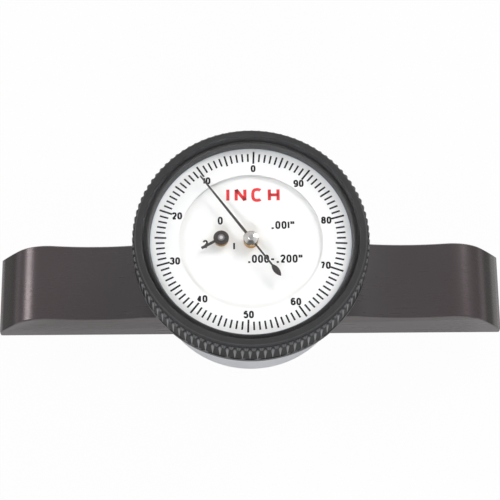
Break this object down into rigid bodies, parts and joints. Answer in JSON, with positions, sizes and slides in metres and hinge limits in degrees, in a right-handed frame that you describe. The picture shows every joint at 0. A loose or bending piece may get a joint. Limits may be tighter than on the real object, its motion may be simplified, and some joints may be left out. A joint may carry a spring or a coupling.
{
  "type": "dial depth gauge",
  "caption": "Dial depth gauge: a dial indicator with a knurled turning bezel on a narrow base bar, its sprung plunger out of the measuring face.",
  "frame": {"origin": "on the plunger's axis, on the base bar's flat measuring face", "axes": "+Z out of the measuring face through the gauge towards the dial; +X along the base bar; the dial reads upright seen with +Y upwards"},
  "size_m": [0.1016, 0.0454, 0.0394],
  "materials": {
    "black_steel": "black oxide over fine grinding, satin",
    "satin_case": "satin bright plating on a turned cup",
    "black_bezel": "black satin on turned and knurled metal",
    "white_dial": "white enamel with printed black figures",
    "clear_crystal": "clear polished plastic",
    "black_hand": "blackened steel",
    "brass": "turned brass",
    "polished_steel": "polished steel",
    "bright_steel": "ground steel",
    "spring_steel": "tempered spring steel",
    "screw_steel": "steel screws"
  },
  "bodies": {
    "frame": {"base_bar": "black_steel", "base_screws": "screw_steel", "case_body": "satin_case", "stem_bush": "brass", "guide_post": "bright_steel", "front_cheek": "brass", "rear_cheek": "brass", "cheek_screws": "screw_steel", "centre_cock": "brass", "cock_screws": "screw_steel", "pillars": "brass", "upper_plate": "brass", "plate_screws": "screw_steel", "centre_bush": "brass", "counter_bush": "brass", "centre_dial": "white_dial", "hairspring": "spring_steel", "hairspring_stud": "brass", "bezel_wire": "spring_steel", "plunger_spring": "spring_steel"},
    "bezel_body": {"bezel": "black_bezel", "graduated_ring": "white_dial", "ring_clip": "bright_steel", "crystal": "clear_crystal"},
    "plunger_body": {"plunger": "bright_steel", "contact_point": "polished_steel", "crosshead": "brass", "rack_bar": "bright_steel"},
    "cross_shaft_body": {"cross_shaft": "bright_steel", "contrate_wheel": "brass"},
    "main_hand_body": {"centre_arbor": "bright_steel", "hairspring_collet": "brass", "main_hand": "black_hand", "hub_collet": "brass", "hub_cap": "polished_steel"},
    "counter_hand_body": {"counter_arbor": "polished_steel", "counter_wheel": "brass", "counter_hand": "black_hand", "counter_collet": "brass"}
  },
  "joints": [
    {"name": "plunger_slide", "type": "slide", "parent": "frame", "child": "plunger_body", "axis": [0, 0, 1], "range_m": [0, 0.00535], "stiffness_N_per_m": 50, "springref_m": -0.006, "deforming": ["plunger_spring"]},
    {"name": "cross_shaft_turn", "type": "hinge", "parent": "frame", "child": "cross_shaft_body", "pos_m": [0, 0, 0.0194], "axis": [0, -1, 0], "range_deg": [0, 253]},
    {"name": "main_hand_turn", "type": "hinge", "parent": "frame", "child": "main_hand_body", "pos_m": [0, 0, 0.0309], "axis": [0, 0, 1], "range_deg": [-759, 0]},
    {"name": "counter_hand_turn", "type": "hinge", "parent": "frame", "child": "counter_hand_body", "pos_m": [-0.00566, 0.00038, 0.0309], "axis": [0, 0, 1], "range_deg": [0, 253]},
    {"name": "bezel_turn", "type": "hinge", "parent": "frame", "child": "bezel_body", "pos_m": [0, 0, 0.0309], "axis": [0, 0, 1], "continuous": true}
  ],
  "couplings": [
    {"joint": "cross_shaft_turn", "follows": "plunger_slide", "rad_per_m": 824.57},
    {"joint": "main_hand_turn", "follows": "plunger_slide", "rad_per_m": -2473.7},
    {"joint": "counter_hand_turn", "follows": "plunger_slide", "rad_per_m": 824.57}
  ]
}
